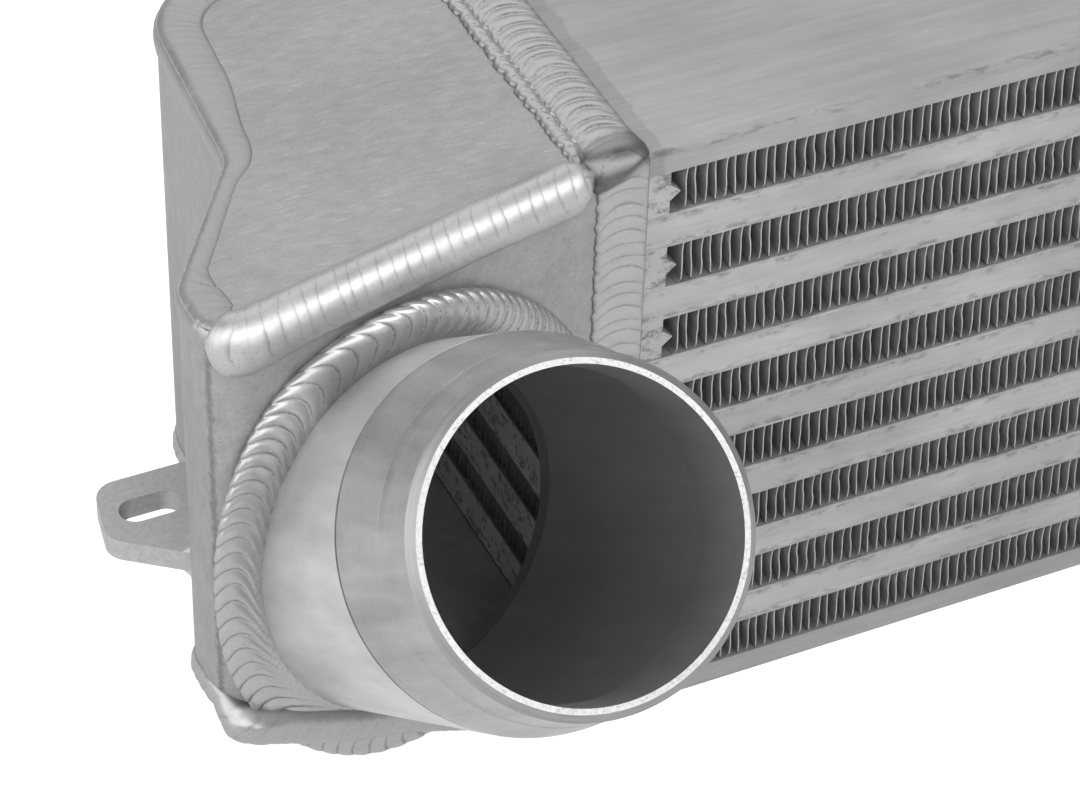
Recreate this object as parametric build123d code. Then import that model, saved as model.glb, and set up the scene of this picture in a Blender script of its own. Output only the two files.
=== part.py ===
from build123d import *
import os
from math import atan2, cos, degrees, radians, sin

# Bar-and-plate charge-air cooler with welded sheet tanks, in millimetres.
# Frame: X along the core, Y from the front face to the rear, +Z up.
# Origin: middle of the core's underside.

# Core: plates, bars and fins stacked in Z.
CORE_LENGTH = 457.2
CORE_DEPTH = 88.9
END_PLATE = 5.3
AMBIENT_ROWS = 8
AMBIENT_HEIGHT = 9.7
CHARGE_HEIGHT = 6.8
SHEET = 0.6
END_BAR_WIDTH = 12.7
LONG_BAR_WIDTH = 9.5
NOSE_DEPTH = 2.2
NOSE_HEIGHT = 3.8

# Square-folded fin strips.
FIN_THICKNESS = 0.3
AMBIENT_WALL_SPACING = 15.5
CHARGE_WALL_SPACING = 9.5
FIN_RECESS = 0.4
FIN_END_GAP = 0.2

# Tank wrapper in plan: reach is outwards from the header, depth is back from the core's front face.
TANK_SHEET = 4.0
TANK_REACH = 87.3
FRONT_SWEEP = 21.1
FLAT_WIDTH = 17.6
WAIST_REACH = 65.2
WAIST_DEPTH = 29.2
REAR_REACH = 61.1
OUTER_END_RISE = 52.2
FRONT_BEND = 8.0
FLARE_BEND = 9.0
REAR_BEND = 20.0

# Neck and hose ring, on one axis that leans forward and up.
NECK_RISE_ANGLE = 39.0
NECK_REACH = 43.9
NECK_HEIGHT = 78.0
NECK_RADIUS = 35.6
NECK_BORE = 31.9
NECK_LENGTH = 63.8
RING_LENGTH = 28.1
STUB_RADIUS = 31.75
STUB_BORE = 29.0
STUB_LENGTH = 15.0
SHOULDER_RADIUS = 34.9
SHOULDER_SLOPE = 3.0
RIM_CHAMFER = 1.3

# Bracket: a slotted plate trimmed to the flare.
BRACKET_THICKNESS = 4.76
BRACKET_TOP = 73.4
BRACKET_BACK = 30.4
BRACKET_FRONT = 3.85
BRACKET_FRONT_REACH = 82.3
BRACKET_TIP_BACK = 94.4
BRACKET_TIP_FRONT = 97.1
BRACKET_TIP_DEPTH = 15.05
BRACKET_CORNER = 5.0
SLOT_REACH = 86.15
SLOT_DEPTH = 20.7
SLOT_WIDTH = 6.7
SLOT_LENGTH = 12.6

# Weld beads.
SEAM_BEAD = 5.0
SEAM_BEAD_INSET = 3.0
NECK_BEAD_SPREAD = 1.22
NECK_BEAD_HEIGHT = 4.8
NECK_BEAD_TAPER = 42
NECK_BEAD_SIDES = 24
CORE_BEAD_INWARD = 8.3
CORE_BEAD_OUTWARD = 6.5
CORE_BEAD_HEIGHT = 2.0
CORE_BEAD_CHAMFER = 1.4
CORE_BEAD_CORNER = 2.4
BRACKET_BEAD = 3.5
SMALLEST_RUN = 30.0

# Worked-out places.
PITCH = AMBIENT_HEIGHT + CHARGE_HEIGHT + 2 * SHEET
CORE_HEIGHT = 2 * END_PLATE + (AMBIENT_ROWS - 1) * PITCH + AMBIENT_HEIGHT
HALF_LENGTH = CORE_LENGTH / 2
HALF_DEPTH = CORE_DEPTH / 2
FRONT_TURN = atan2(FRONT_SWEEP, TANK_REACH)
UNDERSIDE_TILT = atan2(OUTER_END_RISE, TANK_REACH)
NECK_RISE = radians(NECK_RISE_ANGLE)
FAR = 400.0


# Core stack.


def ambient_floor(row):
    """Underside of one ambient passage."""
    return END_PLATE + row * PITCH


def charge_floor(row):
    """Underside of one charge passage, on its lower parting sheet."""
    return ambient_floor(row) + AMBIENT_HEIGHT + SHEET


def slab(length, depth, height, floor):
    """A centred plate standing on one height."""
    return Pos(0, 0, floor + height / 2) * Box(length, depth, height)


def nosed_bar(width, height, length):
    """Closing bar along Y: flat outer side at X = 0, arrow nose on its +X side."""
    nose_start = (height - NOSE_HEIGHT) / 2
    outline = Polyline(
        (0, 0),
        (width, 0),
        (width, nose_start),
        (width + NOSE_DEPTH, height / 2),
        (width, height - nose_start),
        (width, height),
        (0, height),
        close=True,
    )
    return extrude(Plane.XZ * make_face(outline), length / 2, both=True)


def folded_fin(span, height, length, spacing):
    """Fin strip with walls one after another along X and running along Y, closed at top and foot in turn."""
    half = FIN_THICKNESS / 2
    walls = 2 * int(span / spacing / 2)
    step = (span - FIN_THICKNESS) / (walls - 1)
    upper = []
    lower = []
    for index in range(walls):
        x = index * step - (span - FIN_THICKNESS) / 2
        side = half if index % 2 else -half
        inner = (FIN_THICKNESS, height) if side < 0 else (height, FIN_THICKNESS)
        outer = (0, height - FIN_THICKNESS) if side < 0 else (height - FIN_THICKNESS, 0)
        upper += [(x + side, level) for level in inner]
        lower += [(x - side, level) for level in outer]
    upper[0] = (upper[0][0], 0)
    upper[-1] = (upper[-1][0], 0)
    outline = Polyline(*upper, *reversed(lower), close=True)
    return extrude(Plane.XZ * make_face(outline), length / 2, both=True)


def ambient_fin(row):
    span = CORE_LENGTH - 2 * (END_BAR_WIDTH + NOSE_DEPTH + FIN_END_GAP)
    fin = folded_fin(span, AMBIENT_HEIGHT, CORE_DEPTH - 2 * FIN_RECESS, AMBIENT_WALL_SPACING)
    return Pos(0, 0, ambient_floor(row)) * fin


def charge_fin(row):
    span = CORE_DEPTH - 2 * (LONG_BAR_WIDTH + NOSE_DEPTH + FIN_END_GAP)
    fin = folded_fin(span, CHARGE_HEIGHT, CORE_LENGTH - 2 * FIN_RECESS, CHARGE_WALL_SPACING)
    return Pos(0, 0, charge_floor(row)) * Rot(0, 0, 90) * fin


def front_bar(row):
    bar = Rot(0, 0, 90) * nosed_bar(LONG_BAR_WIDTH, CHARGE_HEIGHT, CORE_LENGTH)
    return Pos(0, -HALF_DEPTH, charge_floor(row)) * bar


def rear_bar(row):
    return mirror(front_bar(row), about=Plane.XZ)


def left_end_bars():
    bar = nosed_bar(END_BAR_WIDTH, AMBIENT_HEIGHT, CORE_DEPTH)
    floors = [ambient_floor(row) for row in range(AMBIENT_ROWS)]
    return Compound(children=[Pos(-HALF_LENGTH, 0, floor) * bar for floor in floors])


def parting_sheets():
    sheets = []
    for row in range(AMBIENT_ROWS - 1):
        floor = charge_floor(row)
        sheets.append(slab(CORE_LENGTH, CORE_DEPTH, SHEET, floor - SHEET))
        sheets.append(slab(CORE_LENGTH, CORE_DEPTH, SHEET, floor + CHARGE_HEIGHT))
    return Compound(children=sheets)


# Tank. It is drawn for the right-hand end with the header face at X = 0, the core's front face at
# Y = 0 and the underside at Z = 0, then carried to its end of the core and mirrored to the other.


def to_right_end(shape):
    return Pos(HALF_LENGTH, -HALF_DEPTH, 0) * shape


def wrapper_line(stretch=1.0):
    """Outer line of the folded wrapper in plan. Stretched, it is the line on the sloping underside."""
    corners = [
        (0, 0),
        (TANK_REACH * stretch, -FRONT_SWEEP),
        (TANK_REACH * stretch, FLAT_WIDTH - FRONT_SWEEP),
        (WAIST_REACH * stretch, WAIST_DEPTH),
        (REAR_REACH * stretch, CORE_DEPTH),
        (0, CORE_DEPTH),
    ]
    return FilletPolyline(*corners, radius=[FRONT_BEND, FLARE_BEND, FLARE_BEND, REAR_BEND])


def plan_face(inset):
    """Face inside the wrapper line, carried past the header so that an inset leaves that side open."""
    run_in = 20
    front = (-run_in, run_in * FRONT_SWEEP / TANK_REACH)
    closing = Polyline((0, CORE_DEPTH), (-run_in, CORE_DEPTH), front, (0, 0))
    face = make_face([*wrapper_line().edges(), *closing.edges()])
    return offset(face, -inset) if inset else face


def above_slope(lift=0.0):
    """Half-space over the underside's slope, raised square to it, on the tank's side of the header."""
    rise = lift / cos(UNDERSIDE_TILT)
    outline = Polyline(
        (0, rise),
        (TANK_REACH * 2, OUTER_END_RISE * 2 + rise),
        (TANK_REACH * 2, FAR),
        (0, FAR),
        close=True,
    )
    return extrude(Plane.XZ * make_face(outline), FAR, both=True)


def above_base():
    """Half-space above the core's underside, on which the cooler rests."""
    return Pos(0, 0, FAR / 2) * Box(2 * FAR, 2 * FAR, FAR)


def beyond_header():
    """The part of it on the tank's side of the header face."""
    return above_base() & Pos(FAR / 2, 0, 0) * Box(FAR, 2 * FAR, 2 * FAR)


def tank_block(inset=0.0, top_inset=0.0):
    """Solid within the wrapper, drawn in by sheet thicknesses."""
    return extrude(plan_face(inset), CORE_HEIGHT - top_inset) & above_slope()


def front_plane():
    """Plane on the front plate's outer face at the neck, facing out."""
    sweep = NECK_REACH * FRONT_SWEEP / TANK_REACH
    normal = (-sin(FRONT_TURN), -cos(FRONT_TURN), 0)
    along = (cos(FRONT_TURN), -sin(FRONT_TURN), 0)
    return Plane(origin=(NECK_REACH, -sweep, NECK_HEIGHT), x_dir=along, z_dir=normal)


def neck_plane():
    """Plane square to the neck where its axis meets the front plate's outer face."""
    direction = (0, -cos(NECK_RISE), sin(NECK_RISE))
    return Plane(origin=front_plane().origin, x_dir=(1, 0, 0), z_dir=direction)


def neck_cylinder(radius, start, end):
    return neck_plane() * Pos(0, 0, (start + end) / 2) * Cylinder(radius, end - start)


def outside_front():
    """Half-space in front of the front plate."""
    return front_plane() * Pos(0, 0, FAR / 2) * Box(2 * FAR, 2 * FAR, FAR)


def wrapper():
    """Folded sheet that makes the front, end flat, flare, waist and rear of the tank."""
    return tank_block(top_inset=TANK_SHEET) - tank_block(inset=TANK_SHEET)


def ahead_of_parting():
    """Region in front of the line across the end flat where the wrapper is parted."""
    line = FLAT_WIDTH * 0.6 - FRONT_SWEEP
    outline = Polyline(
        (0, 2 * TANK_SHEET),
        (0, -FAR),
        (FAR, -FAR),
        (FAR, line),
        (TANK_REACH - 4 * TANK_SHEET, line),
        close=True,
    )
    return extrude(make_face(outline), FAR, both=True)


def tank_front_plate():
    return (wrapper() & ahead_of_parting()) - neck_cylinder(NECK_BORE, -FAR / 4, FAR / 4)


def tank_side_wall():
    return wrapper() - ahead_of_parting()


def tank_top_plate():
    return tank_block() - tank_block(top_inset=TANK_SHEET)


def tank_bottom_plate():
    return tank_block(TANK_SHEET, TANK_SHEET) - above_slope(TANK_SHEET)


def tank_neck():
    tube = neck_cylinder(NECK_RADIUS, -FAR / 4, NECK_LENGTH) - neck_cylinder(NECK_BORE, -FAR / 3, FAR / 3)
    return tube & outside_front()


def hose_ring():
    """Turned ring: stop shoulder with a sloping front, hose stub and chamfered rim."""
    shoulder_end = RING_LENGTH - STUB_LENGTH
    profile = Polyline(
        (STUB_BORE, 0),
        (SHOULDER_RADIUS, 0),
        (SHOULDER_RADIUS, shoulder_end - SHOULDER_SLOPE),
        (STUB_RADIUS, shoulder_end),
        (STUB_RADIUS, RING_LENGTH - RIM_CHAMFER),
        (STUB_RADIUS - RIM_CHAMFER, RING_LENGTH),
        (STUB_BORE, RING_LENGTH),
        close=True,
    )
    ring = revolve(Plane.XZ * make_face(profile), Axis.Z)
    return neck_plane() * Pos(0, 0, NECK_LENGTH) * ring


def bracket_face():
    outline = Polyline(
        (REAR_REACH - TANK_SHEET, BRACKET_BACK),
        (BRACKET_TIP_BACK, BRACKET_BACK),
        (BRACKET_TIP_FRONT, BRACKET_TIP_DEPTH),
        (BRACKET_FRONT_REACH, BRACKET_FRONT),
        (REAR_REACH - TANK_SHEET, BRACKET_FRONT),
        close=True,
    )
    face = make_face(outline)
    tip = face.vertices().sort_by(Axis.X)[-2:]
    return fillet(tip, BRACKET_CORNER)


def tank_bracket():
    """Slotted mounting plate, cut to the flare that it is welded to."""
    slot = Pos(SLOT_REACH, SLOT_DEPTH) * SlotOverall(SLOT_LENGTH, SLOT_WIDTH)
    floor = BRACKET_TOP - BRACKET_THICKNESS
    return extrude(Pos(0, 0, floor) * (bracket_face() - slot), BRACKET_THICKNESS) - tank_block()


# Weld beads, each cut to the pieces that it joins.


def seam_bead(plane, turn, stretch=1.0):
    """Six-sided bead under the wrapper's line on a plane, each bend of it in two chords."""
    line = wrapper_line(stretch).offset_2d(SEAM_BEAD_INSET, side=Side.LEFT, closed=False)
    corners = []
    for run in line.edges():
        corners.append(run @ 0)
        if run.geom_type == GeomType.CIRCLE:
            corners.append(run @ 0.5)
    path = plane * Polyline(*corners, line @ 1)
    start = Plane(origin=path @ 0, x_dir=plane.z_dir, z_dir=path % 0)
    section = RegularPolygon(SEAM_BEAD, 6, rotation=turn)
    return sweep(start * section, path=path, transition=Transition.RIGHT)


def top_bead():
    """Bead over the tank's upper corner, one flat of it facing the corner."""
    bead = seam_bead(Plane.XY.offset(CORE_HEIGHT - SEAM_BEAD_INSET), 15)
    return (bead & beyond_header()) - tank_block() - core_weld()


def underside_bead():
    along = (cos(UNDERSIDE_TILT), 0, sin(UNDERSIDE_TILT))
    up = (-sin(UNDERSIDE_TILT), 0, cos(UNDERSIDE_TILT))
    plane = Plane(origin=(0, 0, 0), x_dir=along, z_dir=up).offset(SEAM_BEAD_INSET)
    bead = seam_bead(plane, 45, 1 / cos(UNDERSIDE_TILT))
    tube = neck_cylinder(NECK_RADIUS, -FAR / 4, NECK_LENGTH)
    trimmed = (bead & beyond_header()) - tank_block() - core_weld() - tube
    return Part() + [run for run in trimmed.solids() if run.volume > SMALLEST_RUN]


def front_top_bead():
    """The run of the top bead over the front plate."""
    return top_bead() & ahead_of_parting()


def rear_top_bead():
    """The rest of the top bead, round the end flat, flare, waist and rear."""
    return top_bead() - ahead_of_parting()


def neck_weld():
    """Many-sided tapered collar round the slanting joint of the neck and the front plate."""
    plate = front_plane()
    axis = neck_plane().z_dir
    short = NECK_RADIUS * NECK_BEAD_SPREAD
    long = short / plate.z_dir.dot(axis)
    turns = [radians(360 * side / NECK_BEAD_SIDES) for side in range(NECK_BEAD_SIDES)]
    outline = Polyline(*[(short * cos(turn), long * sin(turn)) for turn in turns], close=True)
    foot = Plane(origin=plate.origin, x_dir=plate.z_dir.cross(axis), z_dir=plate.z_dir) * make_face(outline)
    collar = extrude(foot, NECK_BEAD_HEIGHT, taper=NECK_BEAD_TAPER)
    joined = neck_cylinder(NECK_RADIUS, -FAR / 4, NECK_LENGTH)
    return collar - joined - tank_block() - top_bead() - underside_bead() - core_weld()


def bracket_weld():
    """Fillet beads over and under the bracket where it meets the flare."""
    collar = extrude(plan_face(-BRACKET_BEAD), BRACKET_BEAD, taper=45)
    plate = extrude(Pos(0, 0, -FAR) * bracket_face(), 2 * FAR)
    upper = Pos(0, 0, BRACKET_TOP) * collar
    lower = Pos(0, 0, BRACKET_TOP - BRACKET_THICKNESS) * mirror(collar, about=Plane.XY)
    return ((upper + lower) & plate) - tank_block()


def core_weld():
    """Bead band round the joint between the core and the tank, flush with the core's underside."""
    width = CORE_BEAD_INWARD + CORE_BEAD_OUTWARD
    outline = Rectangle(CORE_DEPTH + 2 * CORE_BEAD_HEIGHT, CORE_HEIGHT + 2 * CORE_BEAD_HEIGHT)
    outline = chamfer(outline.vertices(), CORE_BEAD_CORNER)
    start = Plane(origin=(-CORE_BEAD_INWARD, HALF_DEPTH, CORE_HEIGHT / 2), x_dir=(0, 1, 0), z_dir=(1, 0, 0))
    band = extrude(start * outline, width)
    ends = band.faces().sort_by(Axis.X)
    band = chamfer([*ends[0].edges(), *ends[-1].edges()], CORE_BEAD_CHAMFER)
    core = Pos(-HALF_LENGTH, HALF_DEPTH, 0) * slab(CORE_LENGTH, CORE_DEPTH, CORE_HEIGHT, 0)
    behind = Pos(-FAR / 2, 0, 0) * Box(FAR, 2 * FAR, 2 * FAR)
    kept = above_base() & (above_slope(-CORE_BEAD_HEIGHT) + behind)
    return (band & kept) - core - tank_block()


def tank_pieces():
    return {
        "tank_front_plate": tank_front_plate(),
        "tank_side_wall": tank_side_wall(),
        "tank_top_plate": tank_top_plate(),
        "tank_bottom_plate": tank_bottom_plate(),
        "neck": tank_neck(),
        "hose_ring": hose_ring(),
        "bracket": tank_bracket(),
        "core_weld": core_weld(),
        "front_top_weld": front_top_bead(),
        "rear_top_weld": rear_top_bead(),
        "underside_weld": underside_bead(),
        "neck_weld": neck_weld(),
        "bracket_weld": bracket_weld(),
    }


def core_pieces():
    pieces = {
        "core_bottom_plate": slab(CORE_LENGTH, CORE_DEPTH, END_PLATE, 0),
        "core_top_plate": slab(CORE_LENGTH, CORE_DEPTH, END_PLATE, CORE_HEIGHT - END_PLATE),
        "parting_sheets": parting_sheets(),
        "left_end_bars": left_end_bars(),
        "right_end_bars": mirror(left_end_bars(), about=Plane.YZ),
    }
    for row in range(AMBIENT_ROWS):
        pieces[f"ambient_fin_{row + 1}"] = ambient_fin(row)
    for row in range(AMBIENT_ROWS - 1):
        pieces[f"charge_fin_{row + 1}"] = charge_fin(row)
        pieces[f"front_bar_{row + 1}"] = front_bar(row)
        pieces[f"rear_bar_{row + 1}"] = rear_bar(row)
    return pieces


def write_parts():
    os.makedirs("parts", exist_ok=True)
    for name, piece in core_pieces().items():
        export_step(piece, f"parts/{name}.step")
    for name, piece in tank_pieces().items():
        right = to_right_end(piece)
        export_step(right, f"parts/right_{name}.step")
        export_step(mirror(right, about=Plane.YZ), f"parts/left_{name}.step")


write_parts()
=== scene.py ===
import math

import bpy
import numpy as np
from mathutils import Matrix, Vector


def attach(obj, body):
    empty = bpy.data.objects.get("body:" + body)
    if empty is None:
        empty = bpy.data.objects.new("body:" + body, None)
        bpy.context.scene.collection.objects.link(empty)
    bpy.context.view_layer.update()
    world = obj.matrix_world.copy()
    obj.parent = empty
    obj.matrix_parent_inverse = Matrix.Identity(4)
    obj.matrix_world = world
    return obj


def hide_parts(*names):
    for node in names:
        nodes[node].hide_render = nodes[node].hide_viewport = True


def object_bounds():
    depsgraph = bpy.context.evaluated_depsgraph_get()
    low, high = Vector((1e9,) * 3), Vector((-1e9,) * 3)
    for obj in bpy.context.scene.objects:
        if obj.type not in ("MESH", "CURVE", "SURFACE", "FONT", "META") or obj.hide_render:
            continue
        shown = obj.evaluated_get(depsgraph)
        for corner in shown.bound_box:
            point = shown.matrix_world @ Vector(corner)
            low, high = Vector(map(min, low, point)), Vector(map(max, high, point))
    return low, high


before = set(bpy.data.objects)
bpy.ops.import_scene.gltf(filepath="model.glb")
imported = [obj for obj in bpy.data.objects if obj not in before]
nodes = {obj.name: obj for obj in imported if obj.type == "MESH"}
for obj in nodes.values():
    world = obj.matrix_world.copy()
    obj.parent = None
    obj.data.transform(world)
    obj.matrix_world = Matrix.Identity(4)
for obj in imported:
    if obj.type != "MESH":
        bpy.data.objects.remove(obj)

cad_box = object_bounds()

# ----------------------------------------
# Core plates, closing bars and parting sheets.
# A brazed aluminium stack: thick end plates, drawn bars that close each passage, thin sheets
# between. The plates keep a mill grain, the bars a satin skin with smeared braze at their edges.

CORE_HALF_LENGTH = 0.2286
CORE_HALF_DEPTH = 0.04445
CORE_TOP = 0.1442
AMBIENT_HEIGHT = 0.0097
CHARGE_HEIGHT = 0.0068
END_PLATE = 0.0053
PARTING_SHEET = 0.0006
ROW_PITCH = AMBIENT_HEIGHT + CHARGE_HEIGHT + 2 * PARTING_SHEET
BAR_FLOOR = END_PLATE + AMBIENT_HEIGHT
BAR_MIDDLE = 0.5 * (CHARGE_HEIGHT + 2 * PARTING_SHEET) / ROW_PITCH
WELD_TOE = 0.0083
TOE_RAGGED = 0.0045
PLATE_GREY = (0.385, 0.385, 0.38)
BAR_GREY = (0.47, 0.47, 0.465)
SHEET_GREY = (0.42, 0.42, 0.41)
CLOUD_GRAIN = 22.0
SPECK_GRAIN = 1900.0
SCRATCH_GRAIN = (260, 2300, 2300)
SCRATCH_TURN = (0, 0, 0.4)


def add_node(tree, kind, inputs=(), **settings):
    """A node with its settings made, its plain inputs set and its linked inputs joined."""
    node = tree.nodes.new(kind)
    for key, value in settings.items():
        setattr(node, key, value)
    for key, value in dict(inputs).items():
        if hasattr(value, "is_output"):
            tree.links.new(value, node.inputs[key])
        else:
            node.inputs[key].default_value = value
    return node


def new_material(name):
    """A material with its tree and its shader."""
    material = bpy.data.materials.new(name)
    material.use_nodes = True
    tree = material.node_tree
    tree.nodes.clear()
    shader = add_node(tree, "ShaderNodeBsdfPrincipled")
    add_node(tree, "ShaderNodeOutputMaterial", {"Surface": shader.outputs[0]})
    return material, tree, shader


def reckon(tree, kind, value, *others):
    """Arithmetic on one value, or on several in a row, in a shader or a geometry tree."""
    for other in others or (0.0,):
        value = add_node(tree, "ShaderNodeMath", {0: value, 1: other}, operation=kind).outputs[0]
    return value


def times(tree, *values):
    """Values multiplied together."""
    return reckon(tree, "MULTIPLY", *values)


def less(tree, value, *taken):
    """A value with others taken from it."""
    return reckon(tree, "SUBTRACT", value, *taken)


def ramp(tree, value, low, high, from_low=0.3, from_high=0.7, ease="LINEAR"):
    """A value carried from one range to another and held at its ends."""
    inputs = {"Value": value, "From Min": from_low, "From Max": from_high, "To Min": low, "To Max": high}
    return add_node(tree, "ShaderNodeMapRange", inputs, interpolation_type=ease).outputs["Result"]


def object_coords(tree, scale=(1, 1, 1), turn=(0, 0, 0)):
    """Object coordinates, stretched and turned to run a grain the way the metal was worked."""
    coords = add_node(tree, "ShaderNodeTexCoord").outputs["Object"]
    inputs = {"Vector": coords, "Scale": scale, "Rotation": turn}
    return add_node(tree, "ShaderNodeMapping", inputs).outputs["Vector"]


def noise(tree, vector, scale, detail=4.0, roughness=0.55):
    """Noise between 0 and 1."""
    inputs = {"Vector": vector, "Scale": scale, "Detail": detail, "Roughness": roughness}
    return add_node(tree, "ShaderNodeTexNoise", inputs).outputs["Fac"]


def scaled(tree, vector, value):
    """A grey, or a direction, multiplied by a value."""
    return add_node(tree, "ShaderNodeVectorMath", {0: vector, "Scale": value}, operation="SCALE").outputs[0]


def give_skin(tree, shader, colour, metallic, rough, height, depth):
    """A metal's colour, shine and roughness, and a fine unevenness that only the light shows."""
    bump = add_node(tree, "ShaderNodeBump", {"Height": height, "Strength": 0.5, "Distance": depth})
    shader.inputs["Metallic"].default_value = metallic
    for value, name in ((colour, "Base Color"), (rough, "Roughness"), (bump.outputs["Normal"], "Normal")):
        tree.links.new(value, shader.inputs[name])


def worked_metal(name, grey, grain, turn=(0, 0, 0), rough=0.42, streak=0.08, cloud=0.06, speck=0.0,
                 ticks=0.0, depth=0.00004, metallic=0.75, marks=None, dull=None):
    """Worked aluminium: a long grain, faint clouds, light scratches, dark specks and an uneven gloss.

    Marks add a shading of their own, and the metal loses its shine where dull is 1.
    """
    material, tree, shader = new_material(name)
    plain = object_coords(tree)
    lines = noise(tree, object_coords(tree, grain, turn), 1.0, 5.0, 0.65)
    clouds = noise(tree, plain, CLOUD_GRAIN, 4.0, 0.6)
    specks = noise(tree, plain, SPECK_GRAIN, 3.0, 0.6)
    scratches = noise(tree, object_coords(tree, SCRATCH_GRAIN, SCRATCH_TURN), 1.0, 3.0, 0.6)
    shade = times(tree, ramp(tree, lines, 1 - streak, 1 + streak), ramp(tree, clouds, 1 - cloud, 1 + cloud),
                  ramp(tree, specks, 1 - speck, 1.0, 0.32, 0.45),
                  ramp(tree, scratches, 1.0, 1 + ticks, 0.58, 0.72))
    if marks:
        shade = times(tree, shade, marks(tree))
    give_skin(tree, shader, scaled(tree, grey, shade), metallic,
              ramp(tree, lines, rough - 0.05, rough + 0.08), lines, depth)
    if dull:
        tree.links.new(ramp(tree, dull(tree), metallic, 0.1, 0.0, 1.0), shader.inputs["Metallic"])
    return material


def place_parts(tree):
    """The X, Y and Z of a point."""
    coords = add_node(tree, "ShaderNodeTexCoord").outputs["Object"]
    return add_node(tree, "ShaderNodeSeparateXYZ", {0: coords}).outputs


def blotches(tree, near, grain, dark):
    """Darkened patches where a nearness is 1, broken up by noise."""
    patch = ramp(tree, noise(tree, object_coords(tree, grain), 1.0, 6.0, 0.75), 0.0, 1.0, 0.50, 0.60)
    return less(tree, 1.0, times(tree, near, patch, dark))


def toe_shadow(tree):
    """A ragged strip of painted shadow over the plates beside the toe of each core weld."""
    from_middle = reckon(tree, "ABSOLUTE", place_parts(tree)["X"])
    ragged = times(tree, noise(tree, object_coords(tree), 150.0, 5.0, 0.7), TOE_RAGGED)
    inside = less(tree, CORE_HALF_LENGTH, from_middle, ragged)
    return ramp(tree, inside, 0.84, 1.0, WELD_TOE + 0.0006, WELD_TOE + 0.0012)


def plate_marks(tree):
    """Nicks along the plates' front and rear edges, and a strip of painted shadow beside each weld."""
    place = place_parts(tree)
    depth = reckon(tree, "ABSOLUTE", place["Y"])
    edge = ramp(tree, depth, 0.0, 1.0, CORE_HALF_DEPTH - 0.0012, CORE_HALF_DEPTH - 0.0004)
    rim = ramp(tree, place["Z"], 0.0, 1.0, CORE_TOP - 0.0017, CORE_TOP - 0.0007)
    nicks = blotches(tree, times(tree, edge, rim), (140, 300, 500), 0.35)
    return times(tree, nicks, toe_shadow(tree))


def header_face(tree):
    """1 on the core's end faces, inside the tanks, where the metal is dull and the bars get painted light."""
    end_on = reckon(tree, "ABSOLUTE", place_parts(tree)["X"])
    return ramp(tree, end_on, 0.0, 1.0, CORE_HALF_LENGTH - 0.0003, CORE_HALF_LENGTH - 0.0001)


def bar_marks(tree):
    """Smeared braze along the upper and lower edges of each bar, and ends made twice as bright as painted
    light.
    """
    level = reckon(tree, "DIVIDE", less(tree, place_parts(tree)["Z"], BAR_FLOOR), ROW_PITCH)
    off_middle = reckon(tree, "ABSOLUTE", less(tree, reckon(tree, "FRACT", level), BAR_MIDDLE))
    near = ramp(tree, off_middle, 0.0, 1.0, BAR_MIDDLE - 0.14, BAR_MIDDLE - 0.02)
    smears = blotches(tree, near, (230, 400, 420), 0.55)
    # Painted light: the bars' ends inside the tanks are twice as bright as the rest.
    return times(tree, smears, ramp(tree, header_face(tree), 1.0, 2.0, 0.0, 1.0))


def wear(names, material):
    """Gives parts of the frame their metal and leaves their shapes alone."""
    for name in names:
        mesh = nodes[name].data
        mesh.materials.clear()
        mesh.materials.append(material)


plate_metal = worked_metal("core_plate_metal", PLATE_GREY, (25, 400, 400), streak=0.14, cloud=0.10,
                           rough=0.48, ticks=0.12, marks=plate_marks)
bar_metal = worked_metal("closing_bar_metal", BAR_GREY, (36, 260, 420), streak=0.12, cloud=0.16, rough=0.5,
                         ticks=0.06, marks=bar_marks, dull=header_face)
end_bar_metal = worked_metal("end_bar_metal", BAR_GREY, (300, 300, 60), streak=0.10, cloud=0.14, rough=0.5,
                             marks=bar_marks, dull=header_face)
sheet_metal = worked_metal("parting_sheet_metal", SHEET_GREY, (160, 300, 420), streak=0.3, rough=0.5)
wear(["core_top_plate", "core_bottom_plate"], plate_metal)
wear([f"{face}_bar_{row}" for face in ("front", "rear") for row in range(1, 8)], bar_metal)
wear(["left_end_bars", "right_end_bars"], end_bar_metal)
wear(["parting_sheets"], sheet_metal)

# ----------------------------------------
# Folded fins.
# Thin aluminium strip folded back and forth, brazed into every passage: ambient strips open to
# the front and rear faces, charge strips open into the tanks. Their cut edges carry a painted highlight.

AMBIENT_ROWS = 8
FIN_STOCK = 0.00024
FIN_PITCH = 0.00421
FIN_RECESS = 0.0004
FIN_BOW = 0.00025
FIN_WALL_GREY = (0.42, 0.42, 0.42)
# A painted highlight: the fins' cut edges are a lighter grey than their walls.
FIN_EDGE_LIT_GREY = (0.50, 0.50, 0.495)
END_BAR_ROOM = 0.01515
LONG_BAR_ROOM = 0.01195
AMBIENT_SPAN = 2 * (CORE_HALF_LENGTH - END_BAR_ROOM)
CHARGE_SPAN = 2 * (CORE_HALF_DEPTH - LONG_BAR_ROOM)
POINTS_PER_FOLD = 20
# Share of the pitch that a stretch of a fold covers, and where the stretch starts and ends.
FOLD_STRETCHES = ((0.25, 0.0, 0.1), (0.05, 0.1, 0.4), (0.40, 0.4, 0.6), (0.05, 0.6, 0.9), (0.25, 0.9, 1.0))


def growth_tree(name, inputs):
    """A geometry tree with its named inputs and their first values, and the sockets that give them."""
    tree = bpy.data.node_groups.new(name, "GeometryNodeTree")
    for way in ("INPUT", "OUTPUT"):
        tree.interface.new_socket("Geometry", in_out=way, socket_type="NodeSocketGeometry")
    for label, kind, value in inputs:
        socket = tree.interface.new_socket(label, in_out="INPUT", socket_type=f"NodeSocket{kind}")
        if value is not None:
            socket.default_value = value
    return tree, tree.nodes.new("NodeGroupInput").outputs


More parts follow.
